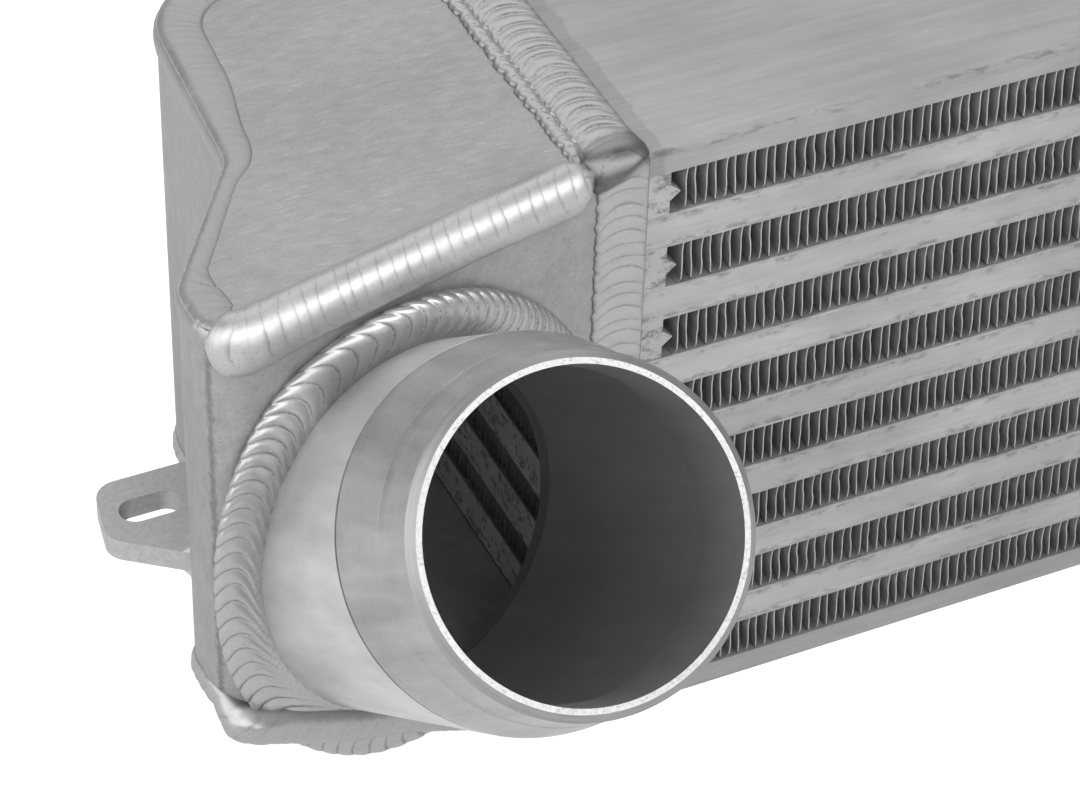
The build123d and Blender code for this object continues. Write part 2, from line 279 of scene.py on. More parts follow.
def grown(piece, tree, values):
    """The plain mesh that a geometry tree makes from a piece, with its inputs set by identifier."""
    modifier = piece.modifiers.new("growth", "NODES")
    modifier.node_group = tree
    identifiers = {item.name: item.identifier for item in tree.interface.items_tree if item.in_out == "INPUT"}
    for name, value in values.items():
        modifier[identifiers[name]] = value
    made = bpy.data.meshes.new_from_object(piece.evaluated_get(bpy.context.evaluated_depsgraph_get()))
    made.name = piece.name
    piece.modifiers.remove(modifier)
    piece.data = made
    return piece


def shaped(tree, step, geometry, inputs=(), **settings):
    """A geometry after one more step of its tree."""
    node = add_node(tree, f"GeometryNode{step}", {"Geometry": geometry, **dict(inputs)}, **settings)
    return node.outputs["Geometry"]


def folded_strip_tree(wall_metal, edge_metal):
    """Geometry tree: one folded strip along X, walls along Y, each wall bowed a little its own way."""
    tree, given = growth_tree("folded_strip", (
        ("Folds", "Int", 10), ("Fold Pitch", "Float", FIN_PITCH), ("Strip Height", "Float", AMBIENT_HEIGHT),
        ("Strip Depth", "Float", 0.08), ("Stock", "Float", FIN_STOCK), ("Bow", "Float", FIN_BOW),
        ("Seed", "Int", 1)))
    samples = times(tree, given["Folds"], POINTS_PER_FOLD)
    line = add_node(tree, "GeometryNodeMeshLine", {"Count": reckon(tree, "ADD", samples, 1)})
    index = add_node(tree, "GeometryNodeInputIndex").outputs["Index"]
    place = reckon(tree, "DIVIDE", index, POINTS_PER_FOLD)
    fold = reckon(tree, "FLOOR", place)
    part = reckon(tree, "FRACT", place)
    climb = ramp(tree, part, 0, 1, 0.05, 0.45, "SMOOTHSTEP")
    fall = ramp(tree, part, 0, 1, 0.55, 0.95, "SMOOTHSTEP")
    rise = less(tree, climb, fall)
    across = 0.0
    for share, start, end in FOLD_STRETCHES:
        across = reckon(tree, "ADD", ramp(tree, part, 0, share, start, end), across)
    run = times(tree, reckon(tree, "ADD", fold, across), given["Fold Pitch"])
    # Sockets 2 and 3 hold the range of a random float, and output 1 gives it: one bow for each wall.
    wall = reckon(tree, "ROUND", times(tree, place, 2))
    chance = add_node(tree, "FunctionNodeRandomValue", {2: -1.0, 3: 1.0, "ID": wall, "Seed": given["Seed"]},
                      data_type="FLOAT").outputs[1]
    wave = times(tree, reckon(tree, "SINE", times(tree, rise, 2 * math.pi)), 0.5)
    belly = times(tree, reckon(tree, "SINE", times(tree, rise, math.pi)), 0.6)
    bend = reckon(tree, "ADD", wave, times(tree, belly, chance))
    shift = times(tree, bend, given["Bow"])
    height = times(tree, rise, less(tree, given["Strip Height"], given["Stock"]))
    where = add_node(tree, "ShaderNodeCombineXYZ", {"X": reckon(tree, "ADD", run, shift), "Z": height})
    moved = shaped(tree, "SetPosition", line.outputs["Mesh"], {"Position": where.outputs["Vector"]})
    marked = shaped(tree, "StoreNamedAttribute", moved, {"Name": "rise", "Value": rise}, data_type="FLOAT")
    curve = add_node(tree, "GeometryNodeMeshToCurve", {"Mesh": marked})
    section = add_node(tree, "GeometryNodeCurvePrimitiveQuadrilateral",
                       {"Width": given["Strip Depth"], "Height": given["Stock"]})
    swept = add_node(tree, "GeometryNodeCurveToMesh",
                     {"Curve": curve.outputs["Curve"], "Profile Curve": section.outputs["Curve"],
                      "Fill Caps": True})
    flat = shaped(tree, "SetShadeSmooth", swept.outputs["Mesh"], {"Shade Smooth": False})
    walls = shaped(tree, "SetMaterial", shaped(tree, "RealizeInstances", flat), {"Material": wall_metal})
    normal = add_node(tree, "GeometryNodeInputNormal").outputs["Normal"]
    outward = add_node(tree, "ShaderNodeSeparateXYZ", {0: normal}).outputs["Y"]
    cut_edge = reckon(tree, "GREATER_THAN", reckon(tree, "ABSOLUTE", outward), 0.9)
    edges = shaped(tree, "SetMaterial", walls, {"Selection": cut_edge, "Material": edge_metal})
    add_node(tree, "NodeGroupOutput", {"Geometry": edges})
    return tree


def new_piece(name, data):
    """An object for a mesh, a lamp or a camera, in the scene and at the origin."""
    piece = bpy.data.objects.new(name, data)
    bpy.context.scene.collection.objects.link(piece)
    return piece


def fin_shade(low, reach):
    """Braze and shadow at the foot of each fold, fading out up the wall."""
    def marks(tree):
        rise = add_node(tree, "ShaderNodeAttribute", attribute_name="rise").outputs["Fac"]
        return ramp(tree, rise, low, 1.0, 0.0, reach)
    return marks


# The cut edges' lighter grey is a painted highlight, and both greys get painted shadow at each fold's foot.
fin_walls = worked_metal("fin_wall_metal", FIN_WALL_GREY, (80, 20, 300), streak=0.2, cloud=0.1, rough=0.45,
                         metallic=0.3, marks=fin_shade(0.45, 0.7))
fin_edges = worked_metal("fin_edge_metal", FIN_EDGE_LIT_GREY, (300, 300, 300), streak=0.2, rough=0.4,
                         marks=fin_shade(0.30, 0.07))
strip_tree = folded_strip_tree(fin_walls, fin_edges)


def fin_strip(node, seed, height, span, depth, floor, turn):
    """One folded strip, grown at the origin and then laid into its passage."""
    folds = int(span / FIN_PITCH)
    piece = new_piece(f"{node}_strip", bpy.data.meshes.new(node))
    grown(piece, strip_tree, {"Folds": folds, "Fold Pitch": span / folds, "Strip Height": height,
                              "Strip Depth": depth, "Seed": seed})
    centred = Matrix.Translation((-span / 2, 0, FIN_STOCK / 2))
    piece.data.transform(Matrix.Translation((0, 0, floor)) @ Matrix.Rotation(turn, 4, "Z") @ centred)
    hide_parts(node)
    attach(piece, "root")


for row in range(AMBIENT_ROWS):
    floor = END_PLATE + row * ROW_PITCH
    fin_strip(f"ambient_fin_{row + 1}", 11 + row, AMBIENT_HEIGHT, AMBIENT_SPAN,
              2 * (CORE_HALF_DEPTH - FIN_RECESS), floor, 0)
for row in range(AMBIENT_ROWS - 1):
    floor = END_PLATE + row * ROW_PITCH + AMBIENT_HEIGHT + PARTING_SHEET
    fin_strip(f"charge_fin_{row + 1}", 31 + row, CHARGE_HEIGHT, CHARGE_SPAN,
              2 * (CORE_HALF_LENGTH - FIN_RECESS), floor, math.pi / 2)

# ----------------------------------------
# Tank sheets.
# Each tank is one folded wrapper with a top plate and a sloping bottom plate, cut from 4 mm
# aluminium sheet. The sheets keep a dull, fine, blasted skin with faint scratches.

TANK_GREY = (0.385, 0.385, 0.38)
# Paler than the other tank sheets: painted light on the tanks' insides, seen down the bores.
BOTTOM_PAINTED_LIGHT_GREY = (0.55, 0.55, 0.54)
TANK_GRAIN = (220, 500, 220)
TANK_GRAIN_TURN = (0, 0, 0.45)
FOLD_MARK = (0.3146, -0.0597)


def fold_mark(tree):
    """A fine ragged line down the fold at each tank's front outer corner."""
    place = place_parts(tree)
    off_x = less(tree, reckon(tree, "ABSOLUTE", place["X"]), FOLD_MARK[0])
    off_y = less(tree, place["Y"], FOLD_MARK[1])
    squares = reckon(tree, "ADD", times(tree, off_x, off_x), times(tree, off_y, off_y))
    ragged = ramp(tree, noise(tree, object_coords(tree), 700.0), 0.0, 0.0009)
    return ramp(tree, reckon(tree, "ADD", reckon(tree, "SQRT", squares), ragged), 0.62, 1.0, 0.0006, 0.0015)


tank_metal = worked_metal("tank_sheet_metal", TANK_GREY, TANK_GRAIN, TANK_GRAIN_TURN, rough=0.5, streak=0.13,
                          cloud=0.09, speck=0.16, ticks=0.26, marks=fold_mark)
# Painted light: the bottom plates get a paler grey so the tanks' insides seen down the bores look lit.
bottom_metal = worked_metal("tank_bottom_metal", BOTTOM_PAINTED_LIGHT_GREY, TANK_GRAIN, TANK_GRAIN_TURN, rough=0.55,
                            streak=0.10, cloud=0.10, speck=0.12, metallic=0.2)
for side in ("left", "right"):
    wear([f"{side}_tank_{sheet}" for sheet in ("front_plate", "side_wall", "top_plate")], tank_metal)
    wear([f"{side}_tank_bottom_plate"], bottom_metal)

# ----------------------------------------
# Seam beads.
# TIG-welded corner seams round the top and the underside of each tank: a stack of overlapping
# crescents, broad and smoothed along the rear, proud and shiny over the front plate.

# Millimetres out from the header, back from the core's front face and up from its base.
TANK_REACH = 87.3
NOSE_FORWARD = 21.1
FRONT_SLOPE = NOSE_FORWARD / TANK_REACH
UNDERSIDE_RISE = 52.2 / TANK_REACH
TANK_DEPTH = 2000 * CORE_HALF_DEPTH
TANK_TOP = 1000 * CORE_TOP
TANK_CORNERS = ((0, 0), (TANK_REACH, -NOSE_FORWARD), (TANK_REACH, -3.5), (65.2, 29.2), (61.1, TANK_DEPTH),
                (0, TANK_DEPTH))
TANK_BENDS = (8, 9, 9, 20)
STATION = 0.30
ARC_POINTS = 25
SEAM_POINTS = 26
LEAST_FLAT = 0.05
# A bead's toes are tucked just under the sheets' faces, and its back is sunk in them.
TOE_TUCK = 0.25
SUNK = 1.2
BLUNT = 2.4
FULL = 0.62
CREST_MIDDLE = 0.62
BEAD_CLOUD_GRAIN = 120.0
BEAD_SPECK_GRAIN = 1400.0
BEAD_SHINE = 0.85
SEAM_GREY = (0.55, 0.55, 0.55)
SMOOTH_SEAM_GREY = (0.40, 0.40, 0.395)
UNDER_SEAM_GREY = (0.44, 0.44, 0.435)


def unit(vectors):
    """Vectors brought to length 1."""
    return vectors / np.linalg.norm(vectors, axis=-1, keepdims=True)


def travelled(points, weights=1.0):
    """How far along a line each of its points lies, with each step weighed."""
    steps = np.linalg.norm(np.diff(points, axis=0), axis=1) * weights
    return np.concatenate(([0], np.cumsum(steps)))


def bent_line(corners, radii, step):
    """Points along a line with filleted corners, evenly spaced, in plan."""
    corners = [np.array(corner, float) for corner in corners]
    points = [corners[0]]
    for before, corner, after, radius in zip(corners, corners[1:], corners[2:], radii):
        into = unit(corner - before)
        out = unit(after - corner)
        turn = math.acos(float(np.clip(into @ out, -1, 1)))
        side = np.sign(into[0] * out[1] - into[1] * out[0])
        start = corner - into * radius * math.tan(turn / 2)
        centre = start + side * radius * np.array((-into[1], into[0]))
        for share in np.linspace(0, 1, ARC_POINTS):
            swing = side * share * turn
            spin = np.array(((math.cos(swing), -math.sin(swing)), (math.sin(swing), math.cos(swing))))
            points.append(centre + spin @ (start - centre))
    points.append(corners[-1])
    points = np.array(points)
    reach = travelled(points)
    places = np.linspace(0, reach[-1], int(reach[-1] / step) + 1)
    return np.stack([np.interp(places, reach, points[:, axis]) for axis in (0, 1)], -1)


def tangents(points, closed=False):
    """The way a line runs at each of its points."""
    if closed:
        return unit(np.roll(points, -1, 0) - np.roll(points, 1, 0))
    return unit(np.gradient(points, axis=0))


def at_end(points, side):
    """Tank millimetres carried to one end of the core, in metres."""
    x, y, z = np.moveaxis(points, -1, 0)
    sign = -1 if side == "left" else 1
    return np.stack([sign * (CORE_HALF_LENGTH * 1000 + x), y - CORE_HALF_DEPTH * 1000, z], -1) / 1000


def ring_mesh(name, rings, closed=False):
    """Mesh over rings of points, one after another, capped at both ends unless it closes on itself."""
    count, around = rings.shape[:2]
    last = count if closed else count - 1
    first, step = np.meshgrid(np.arange(last), np.arange(around), indexing="ij")
    next_ring = (first + 1) % count
    next_step = (step + 1) % around
    quads = np.stack([first * around + step, next_ring * around + step,
                      next_ring * around + next_step, first * around + next_step], -1).reshape(-1, 4)
    faces = quads.tolist()
    if not closed:
        faces.append(list(range(around)))
        faces.append(list(range((count - 1) * around, count * around))[::-1])
    points = rings.reshape(-1, 3)
    corner = points[quads]
    volume = sum((corner[:, 0] * np.cross(corner[:, k], corner[:, k + 1])).sum() for k in (1, 2))
    if volume < 0:
        faces = [face[::-1] for face in faces]
    mesh = bpy.data.meshes.new(name)
    mesh.from_pydata(points.tolist(), [], faces)
    mesh.shade_smooth()
    return mesh


def keep_field(mesh, name, values):
    """A number kept on each point of a mesh, for its tree and its metal."""
    mesh.attributes.new(name, "FLOAT", "POINT").data.foreach_set("value", np.asarray(values, float).ravel())


def ripple_tree():
    """Geometry tree: pushes a bead out along its normals into overlapping crescents."""
    tree, given = growth_tree("crescents", (
        ("Crescent Pitch", "Float", 3.0), ("Crescent Depth", "Float", 0.0003), ("Crescent Bow", "Float", 0.8),
        ("Unevenness", "Float", 0.3), ("Seed", "Float", 1.0), ("Metal", "Material", None)))
    along, across, swell = (
        add_node(tree, "GeometryNodeInputNamedAttribute", {"Name": name}, data_type="FLOAT").outputs[0]
        for name in ("along", "across", "swell"))
    paces = reckon(tree, "DIVIDE", along, given["Crescent Pitch"])
    seeded = reckon(tree, "ADD", times(tree, along, 0.17), given["Seed"])
    drift = add_node(tree, "ShaderNodeTexNoise", {"W": seeded, "Scale": 1.0, "Detail": 2.0},
                     noise_dimensions="1D")
    wander = times(tree, less(tree, drift.outputs["Fac"], 0.5), given["Unevenness"])
    bowed = times(tree, across, across, given["Crescent Bow"])
    spot = add_node(tree, "ShaderNodeTexNoise", {"Scale": 260.0, "Detail": 2.0})
    spotted = times(tree, less(tree, spot.outputs["Fac"], 0.5), 0.25)
    phase = reckon(tree, "ADD", reckon(tree, "ADD", paces, wander), reckon(tree, "ADD", bowed, spotted))
    # A crescent crests early and falls away slowly to the next one's edge.
    share = reckon(tree, "FRACT", phase)
    lean = reckon(tree, "POWER", share, 0.7)
    crest = reckon(tree, "POWER", reckon(tree, "SINE", times(tree, lean, math.pi)), 0.75)
    depth = times(tree, swell, given["Crescent Depth"])
    lift = times(tree, less(tree, crest, CREST_MIDDLE), depth)
    normal = add_node(tree, "GeometryNodeInputNormal").outputs["Normal"]
    marked = shaped(tree, "StoreNamedAttribute", given["Geometry"], {"Name": "crescent", "Value": share},
                    data_type="FLOAT")
    pushed = shaped(tree, "SetPosition", marked, {"Offset": scaled(tree, normal, lift)})
    real = shaped(tree, "RealizeInstances", pushed)
    dressed = shaped(tree, "SetMaterial", real, {"Material": given["Metal"]})
    add_node(tree, "NodeGroupOutput", {"Geometry": dressed})
    return tree


def bead_metal(name, grey, rough, line, toe_soot_and_shade, width=0.15):
    """Weld metal: painted shade at each crescent's edge, soot and painted shade at the toes, a soft uneven
    gloss.
    """
    material, tree, shader = new_material(name)
    plain = object_coords(tree)
    crescent = add_node(tree, "ShaderNodeAttribute", attribute_name="crescent").outputs["Fac"]
    swell = add_node(tree, "ShaderNodeAttribute", attribute_name="swell").outputs["Fac"]
    clouds = noise(tree, plain, BEAD_CLOUD_GRAIN, 4.0, 0.6)
    specks = noise(tree, plain, BEAD_SPECK_GRAIN, 3.0, 0.7)
    # Painted shade: a dark line at each crescent's edge, and darkening at the toes that is soot and painted
    # shade.
    shade = times(tree, ramp(tree, crescent, 1 - line, 1.0, 0.0, width, "SMOOTHSTEP"),
                  ramp(tree, swell, 1 - toe_soot_and_shade, 1.0, 0.11, 0.46),
                  ramp(tree, clouds, 0.93, 1.07), ramp(tree, specks, 0.8, 1.0, 0.30, 0.42))
    give_skin(tree, shader, scaled(tree, grey, shade), BEAD_SHINE,
              ramp(tree, clouds, rough - 0.06, rough + 0.08), specks, 0.00005)
    return material


def corner_sections(corner, plate_way, wall_way, plate_toe, wall_toe, rounding, crown):
    """Bead sections over an outside corner: flat to each toe, round at the corner, swelling between."""
    count = len(corner)
    sizes = (plate_toe, wall_toe, rounding, crown)
    plate_toe, wall_toe, rounding, crown = (np.reshape(size, (-1, 1)) for size in sizes)
    middle = unit(plate_way + wall_way)
    half = np.arccos(np.clip((plate_way * middle).sum(-1, keepdims=True), -1, 1))
    plate_out = unit(plate_way * np.cos(half) - middle)
    wall_out = unit(wall_way * np.cos(half) - middle)
    run = rounding / np.tan(half)
    centre = corner + middle * (rounding / np.sin(half))
    sweep = math.pi - 2 * half
    on_plate = np.maximum(plate_toe - run, LEAST_FLAT)
    on_arc = rounding * sweep
    on_wall = np.maximum(wall_toe - run, LEAST_FLAT)
    rows = []
    swells = []
    for share in np.linspace(0, 1, SEAM_POINTS):
        reach = share * (on_plate + on_arc + on_wall)
        short_of_arc = np.clip(on_plate - reach, 0, None)
        past_arc = np.clip(reach - on_plate - on_arc, 0, None)
        angle = np.clip((reach - on_plate) / on_arc, 0, 1) * sweep
        facing = (plate_out * np.sin(sweep - angle) + wall_out * np.sin(angle)) / np.sin(sweep)
        swell = (1 - abs(2 * share - 1) ** BLUNT) ** FULL
        hug = centre + facing * rounding + plate_way * short_of_arc + wall_way * past_arc
        rows.append(hug + facing * (swell * crown - TOE_TUCK))
        swells.append(np.full(count, swell))
    rows.append(corner + wall_way * wall_toe - wall_out * SUNK)
    rows.append(corner + middle * (SUNK / np.sin(half)))
    rows.append(corner + plate_way * plate_toe - plate_out * SUNK)
    swells += [np.zeros(count)] * 3
    return np.stack(rows, 1), np.stack(swells, 1)


def bead(side, name, rings, swells, along, metal, pitch, depth, bow, unevenness, seed, closed=False,
         across=None):
    """A weld bead from its sections, rippled by the crescent tree."""
    piece_name = f"{side}_{name}_bead"
    mesh = ring_mesh(piece_name, at_end(rings, side), closed)
    count, around = rings.shape[:2]
    if across is None:
        across = np.concatenate((np.linspace(-1, 1, around - 3), [1, 0, -1]))
    if np.ndim(along) == 1:
        along = np.repeat(along, around)
    keep_field(mesh, "along", along)
    keep_field(mesh, "across", np.tile(across, count))
    keep_field(mesh, "swell", swells)
    piece = grown(new_piece(piece_name, mesh), crescents, {
        "Crescent Pitch": pitch, "Crescent Depth": depth, "Crescent Bow": bow, "Unevenness": unevenness,
        "Seed": seed, "Metal": metal})
    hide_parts(f"{side}_{name}_weld")
    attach(piece, "root")


def eased(places, stops, values):
    """Values between stops along a run, eased at each stop."""
    places = np.asarray(places, float)
    out = np.full(places.shape, float(values[0]))
    for start, end, low, high in zip(stops, stops[1:], values, values[1:]):
        share = np.clip((places - start) / (end - start), 0, 1)
        out = np.where(places >= start, low + (high - low) * share * share * (3 - 2 * share), out)
    return out


def round_end(places, start, end, length):
    """1 along a run, falling to 0 as a dome over its last length at both ends."""
    left = np.clip(np.minimum(places - start, end - places) / length, 0, 1)
    return np.sqrt(1 - (1 - left) ** 2)


crescents = ripple_tree()
seam_metal = bead_metal("seam_bead_metal", SEAM_GREY, 0.46, line=0.30, toe_soot_and_shade=0.8, width=0.22)
smooth_seam_metal = bead_metal("smoothed_seam_metal", SMOOTH_SEAM_GREY, 0.44, line=0.08, toe_soot_and_shade=0.45)
under_seam_metal = bead_metal("underside_seam_metal", UNDER_SEAM_GREY, 0.38, line=0.25, toe_soot_and_shade=0.4)

seam_line = bent_line(TANK_CORNERS, TANK_BENDS, STATION)
seam_reach = travelled(seam_line)
seam_tangent = tangents(seam_line)
seam_out = np.stack([seam_tangent[:, 1], -seam_tangent[:, 0], np.zeros(len(seam_line))], -1)
nose_at = math.hypot(TANK_REACH, NOSE_FORWARD)
top_corner = np.column_stack((seam_line, np.full(len(seam_line), TANK_TOP)))
straight_down = np.broadcast_to((0.0, 0.0, -1.0), top_corner.shape)

# The front seam: broad over the plate's edge, with domed ends.
front_start, front_end = 3.9, nose_at + 0.2
dome = round_end(seam_reach, front_start, front_end, 4.6)
front_crown = dome * eased(seam_reach, (0, 60, 86, 96), (2.1, 2.2, 2.6, 2.6))
front_wall_toe = dome * eased(seam_reach, (0, 30, 66, 84, 96), (8.4, 7.7, 8.4, 9.8, 9.8))
front_rings, front_swells = corner_sections(top_corner, -seam_out, straight_down, plate_toe=6.5 * dome,
                                            wall_toe=front_wall_toe, rounding=4.0, crown=front_crown)
front_run = (seam_reach > front_start) & (seam_reach < front_end)

# The rear seam: ground smooth, wide at the nose and along the rear, narrow along the end flat.
rear_stops = (nose_at - 4, nose_at + 5, nose_at + 12, nose_at + 20, 134, 146, 168, 205)
rear_plate_toe = eased(seam_reach, rear_stops, (8.2, 8.4, 8.0, 4.4, 3.9, 6.6, 9.0, 9.6))
rear_wall_toe = eased(seam_reach, rear_stops, (5.6, 5.2, 4.6, 3.8, 3.8, 4.8, 6.0, 6.0))
rear_rounding = eased(seam_reach, rear_stops, (2.4, 2.4, 2.2, 1.7, 1.7, 2.1, 2.4, 2.4))
rear_rings, rear_swells = corner_sections(top_corner, -seam_out, straight_down, rear_plate_toe,
                                          rear_wall_toe, rear_rounding, crown=0.46 * rear_rounding)
rear_run = (seam_reach >= nose_at - 3.0) & (seam_reach < seam_reach[-1] - 5.0)

# The underside seam: it follows the wrapper's foot up the slope, proudest before the nose.
under_corner = np.column_stack((seam_line, seam_line[:, 0] * UNDERSIDE_RISE))
under_tangent = tangents(under_corner)
under_plate = unit(np.cross(unit(np.array((UNDERSIDE_RISE, 0.0, -1.0))), under_tangent))
under_plate *= -np.sign((under_plate * seam_out).sum(-1))[:, None]
under_wall = unit(np.cross(under_tangent, seam_out))
under_wall *= np.sign(under_wall[:, 2])[:, None]
under_stops = (0, nose_at - 8, nose_at - 1)
under_toe = eased(seam_reach, under_stops, (5.2, 5.2, 4.4))
under_rounding = eased(seam_reach, under_stops, (3.2, 3.2, 2.2))
under_crown = eased(seam_reach, (0, nose_at - 50, nose_at - 22, nose_at - 5, nose_at + 2),
                    (3.4, 3.6, 5.4, 5.4, 1.15))
under_rings, under_swells = corner_sections(under_corner, under_plate, under_wall, under_toe, under_toe,
                                            under_rounding, under_crown)
under_reach = travelled(under_corner)
under_run = (seam_reach > 6.0) & (seam_reach < seam_reach[-1] - 6.0)

for number, side in enumerate(("left", "right")):
    bead(side, "front_top", front_rings[front_run], front_swells[front_run], seam_reach[front_run],
         seam_metal, pitch=3.15, depth=0.00011, bow=1.8, unevenness=0.9, seed=3.0 + number)
    bead(side, "rear_top", rear_rings[rear_run], rear_swells[rear_run], seam_reach[rear_run],
         smooth_seam_metal, pitch=2.7, depth=0.00010, bow=0.6, unevenness=1.6, seed=13.0 + number)
    bead(side, "underside", under_rings[under_run], under_swells[under_run], under_reach[under_run],
         under_seam_metal, pitch=3.0, depth=0.00020, bow=0.9, unevenness=0.8, seed=23.0 + number)

# ----------------------------------------
# Core welds.
# A broad flat weld band round each joint between core and tank: crescents down the front, over
# the top and down the rear, a bright blob at the front's upper corner, and a thin run beneath.

CORE_BEAD_CORNER = 3.2
CHAIN_POINTS = 10
CHAIN_FOOT = -0.8
CORNER_AT = 143.0
SLANT = 1.7
PRESSED_IN = 0.2
CORE_BEAD_GREY = (0.475, 0.475, 0.47)
band_path = bent_line(((0, 0), (0, TANK_TOP), (TANK_DEPTH, TANK_TOP), (TANK_DEPTH, 0), (0, 0)),
                      (CORE_BEAD_CORNER,) * 3, STATION)
band_reach = travelled(band_path)
band_tangent = tangents(band_path)
band_out = np.stack([np.zeros(len(band_path)), -band_tangent[:, 1], band_tangent[:, 0]], -1)


def smoothed(values, weights, ends):
    """A run of values blurred by weights: its ends are held by edge, or joined up by wrap."""
    return np.convolve(np.pad(values, len(weights) // 2, mode=ends), weights / weights.sum(), "valid")


# Stops up the front, round the upper corner, over the top, down the rear and back beneath.
band_stops = (0, CORNER_AT - 4.6, CORNER_AT - 2.4, CORNER_AT + 2, CORNER_AT + 7, 224, 236, 370, 376)
on_core = eased(band_reach, band_stops, (8.3, 8.3, 8.3, 8.8, 8.3, 8.3, 8.3, 8.3, 0.2))
on_tank = eased(band_reach, band_stops, (3.4, 3.4, 3.9, 4.6, 3.6, 3.6, 5.5, 5.5, 6.4))
chain_width = eased(band_reach, band_stops, (0.02, 0.02, 1.2, 2.2, 3.3, 3.3, 0.02, 0.02, 0.02))
crowns = (1.9, 1.3, 2.9, 2.7, 1.5, 1.5, 2.0, 2.0, 0.7)
ripples = (1, 1, 0.1, 0.25, 0.9, 0.9, 0.5, 1, 0.3)
has_chain = chain_width / chain_width.max()
face_slope = np.where(np.abs(band_out[:, 1] + 1) < 0.01, FRONT_SLOPE, 0.0)
face_slope = np.where(np.abs(band_out[:, 2] + 1) < 0.01, -UNDERSIDE_RISE, face_slope)
face_slope = smoothed(face_slope, np.ones(13), "edge")
chain_jog = 0.35 * np.sin(band_reach * 0.9) * np.sin(band_reach * 0.37 + 1.0)
toe_jog = 0.28 * np.sin(band_reach * 2.05) * np.sin(band_reach * 0.61 + 0.4)
on_tank = on_tank + toe_jog * np.minimum(1, band_reach / 10)


def band_row(reach, lift):
    """One line of points along the band, at a reach from the header and a height over the faces."""
    centre = np.stack([reach, band_path[:, 0], band_path[:, 1]], -1)
    return centre + band_out * (np.maximum(reach, 0) * face_slope + lift)[:, None]


rows = []
swells = []
across = []
for share in np.linspace(-1, 1, SEAM_POINTS):
    profile = -1 + (share + 1) * (1 - 0.08 * has_chain)
    swell = np.clip(1 - abs(profile) ** 3.0, 0, 1) ** 0.6
    reach = -on_core + (share + 1) / 2 * (on_core + on_tank)
    slanted = band_reach - SLANT * (1 - share) * (band_reach < 200)
    rows.append(band_row(reach, swell * eased(slanted, band_stops, crowns) - PRESSED_IN))
    swells.append(swell * eased(slanted, band_stops, ripples))
    across.append(share)
# A second small run, a chain of drops, lies beside the band over the top.
for share in np.linspace(CHAIN_FOOT, 1, CHAIN_POINTS):
    swell = (1 - abs(share) ** BLUNT) ** 0.6
    out = (share - CHAIN_FOOT) / (1 - CHAIN_FOOT)
    reach = on_tank + out * (chain_width + chain_jog * has_chain * out)
    rows.append(band_row(reach, swell * 1.15 * has_chain - PRESSED_IN - 0.6 * (1 - has_chain)))
    swells.append(swell * has_chain * 0.5)
    across.append(share)
for reach, lift in ((on_tank + chain_width, -1.0), ((on_tank - on_core) / 2, -SUNK), (-on_core, -1.0)):
    rows.append(band_row(reach, lift))
    swells.append(np.zeros(len(band_path)))
    across.append(0)
band_rings = np.stack(rows, 1)
band_rings[:, :, 2] = np.maximum(band_rings[:, :, 2], 0.05)
core_bead_metal = bead_metal("core_bead_metal", CORE_BEAD_GREY, 0.38, line=0.40, toe_soot_and_shade=0.66, width=0.22)
for number, side in enumerate(("left", "right")):
    bead(side, "core", band_rings[:-1], np.stack(swells, 1)[:-1], band_reach[:-1], core_bead_metal,
         pitch=3.07, depth=0.00042, bow=0.95, unevenness=0.9, seed=43.0 + number, closed=True, across=across)

# ----------------------------------------
# Necks.
# A drawn tube leans forward and up from each front plate, cut on the slant to meet it. It keeps
# faint draw marks round it and painted reflections streaked along it, and its bore is dull and
# streaked the same way.

NECK_RADIUS = 35.6
NECK_BORE = 31.9
NECK_LENGTH = 63.8
NECK_MIDDLE = 40.0
NECK_OUT = 43.9
NECK_HEIGHT = 78.0
NECK_ANGLE = math.radians(39)
FOOT_GAP = 0.02
TURN_STEPS = 256
NECK_GREY = (0.63, 0.63, 0.63)
BORE_GREY = (0.64, 0.64, 0.63)
neck_foot = np.array((NECK_OUT, -NECK_OUT * FRONT_SLOPE, NECK_HEIGHT))
neck_axis = np.array((0.0, -math.cos(NECK_ANGLE), math.sin(NECK_ANGLE)))
neck_across = np.array((1.0, 0.0, 0.0))
neck_up = np.cross(neck_axis, neck_across)
plate_normal = unit(np.array((-NOSE_FORWARD, -TANK_REACH, 0.0)))


def round_angles(steps):
    """Even steps round the neck's axis, from straight out and upwards."""
    return np.arange(steps) * 2 * math.pi / steps


def round_points(radius, reach, steps=TURN_STEPS):
    """A circle of points square to the neck, at one reach along its axis or one reach per point."""
    angles = round_angles(steps)
    spoke = np.cos(angles)[:, None] * neck_across + np.sin(angles)[:, None] * neck_up
    return neck_foot + radius * spoke + np.broadcast_to(reach, (steps,))[:, None] * neck_axis


def slant_reach(radius, steps=TURN_STEPS, lift=0.0):
    """How far along the axis each point of a circle meets the front plate."""
    spokes = round_points(radius, 0.0, steps) - neck_foot
    return (lift - spokes @ plate_normal) / (neck_axis @ plate_normal)


def turned_piece(name, side, profile, metals, sharp, stands_for):
    """A body turned on the neck's axis, from rings of (radius, reach) and a metal for each band between.

    Edges that turn by more than so many degrees stay sharp.
    """
    rings = np.stack([round_points(radius, reach) for radius, reach in profile])
    mesh = ring_mesh(name, at_end(rings, side), closed=True)
    kinds = list(dict.fromkeys(metals))
    for metal in kinds:
        mesh.materials.append(metal)
    bands = np.repeat([kinds.index(metal) for metal in metals], TURN_STEPS)
    mesh.polygons.foreach_set("material_index", bands.astype(np.int32))
    mesh.set_sharp_from_angle(angle=math.radians(sharp))
    angles = np.tile(round_angles(TURN_STEPS), len(profile))
    heights = np.repeat([np.mean(reach) + radius * 0.7 for radius, reach in profile], TURN_STEPS)
    turning = np.stack([np.cos(angles), np.sin(angles), heights], -1)
    mesh.attributes.new("turning", "FLOAT_VECTOR", "POINT").data.foreach_set("vector", turning.ravel())
    piece = new_piece(name, mesh)
    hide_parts(stands_for)
    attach(piece, "root")


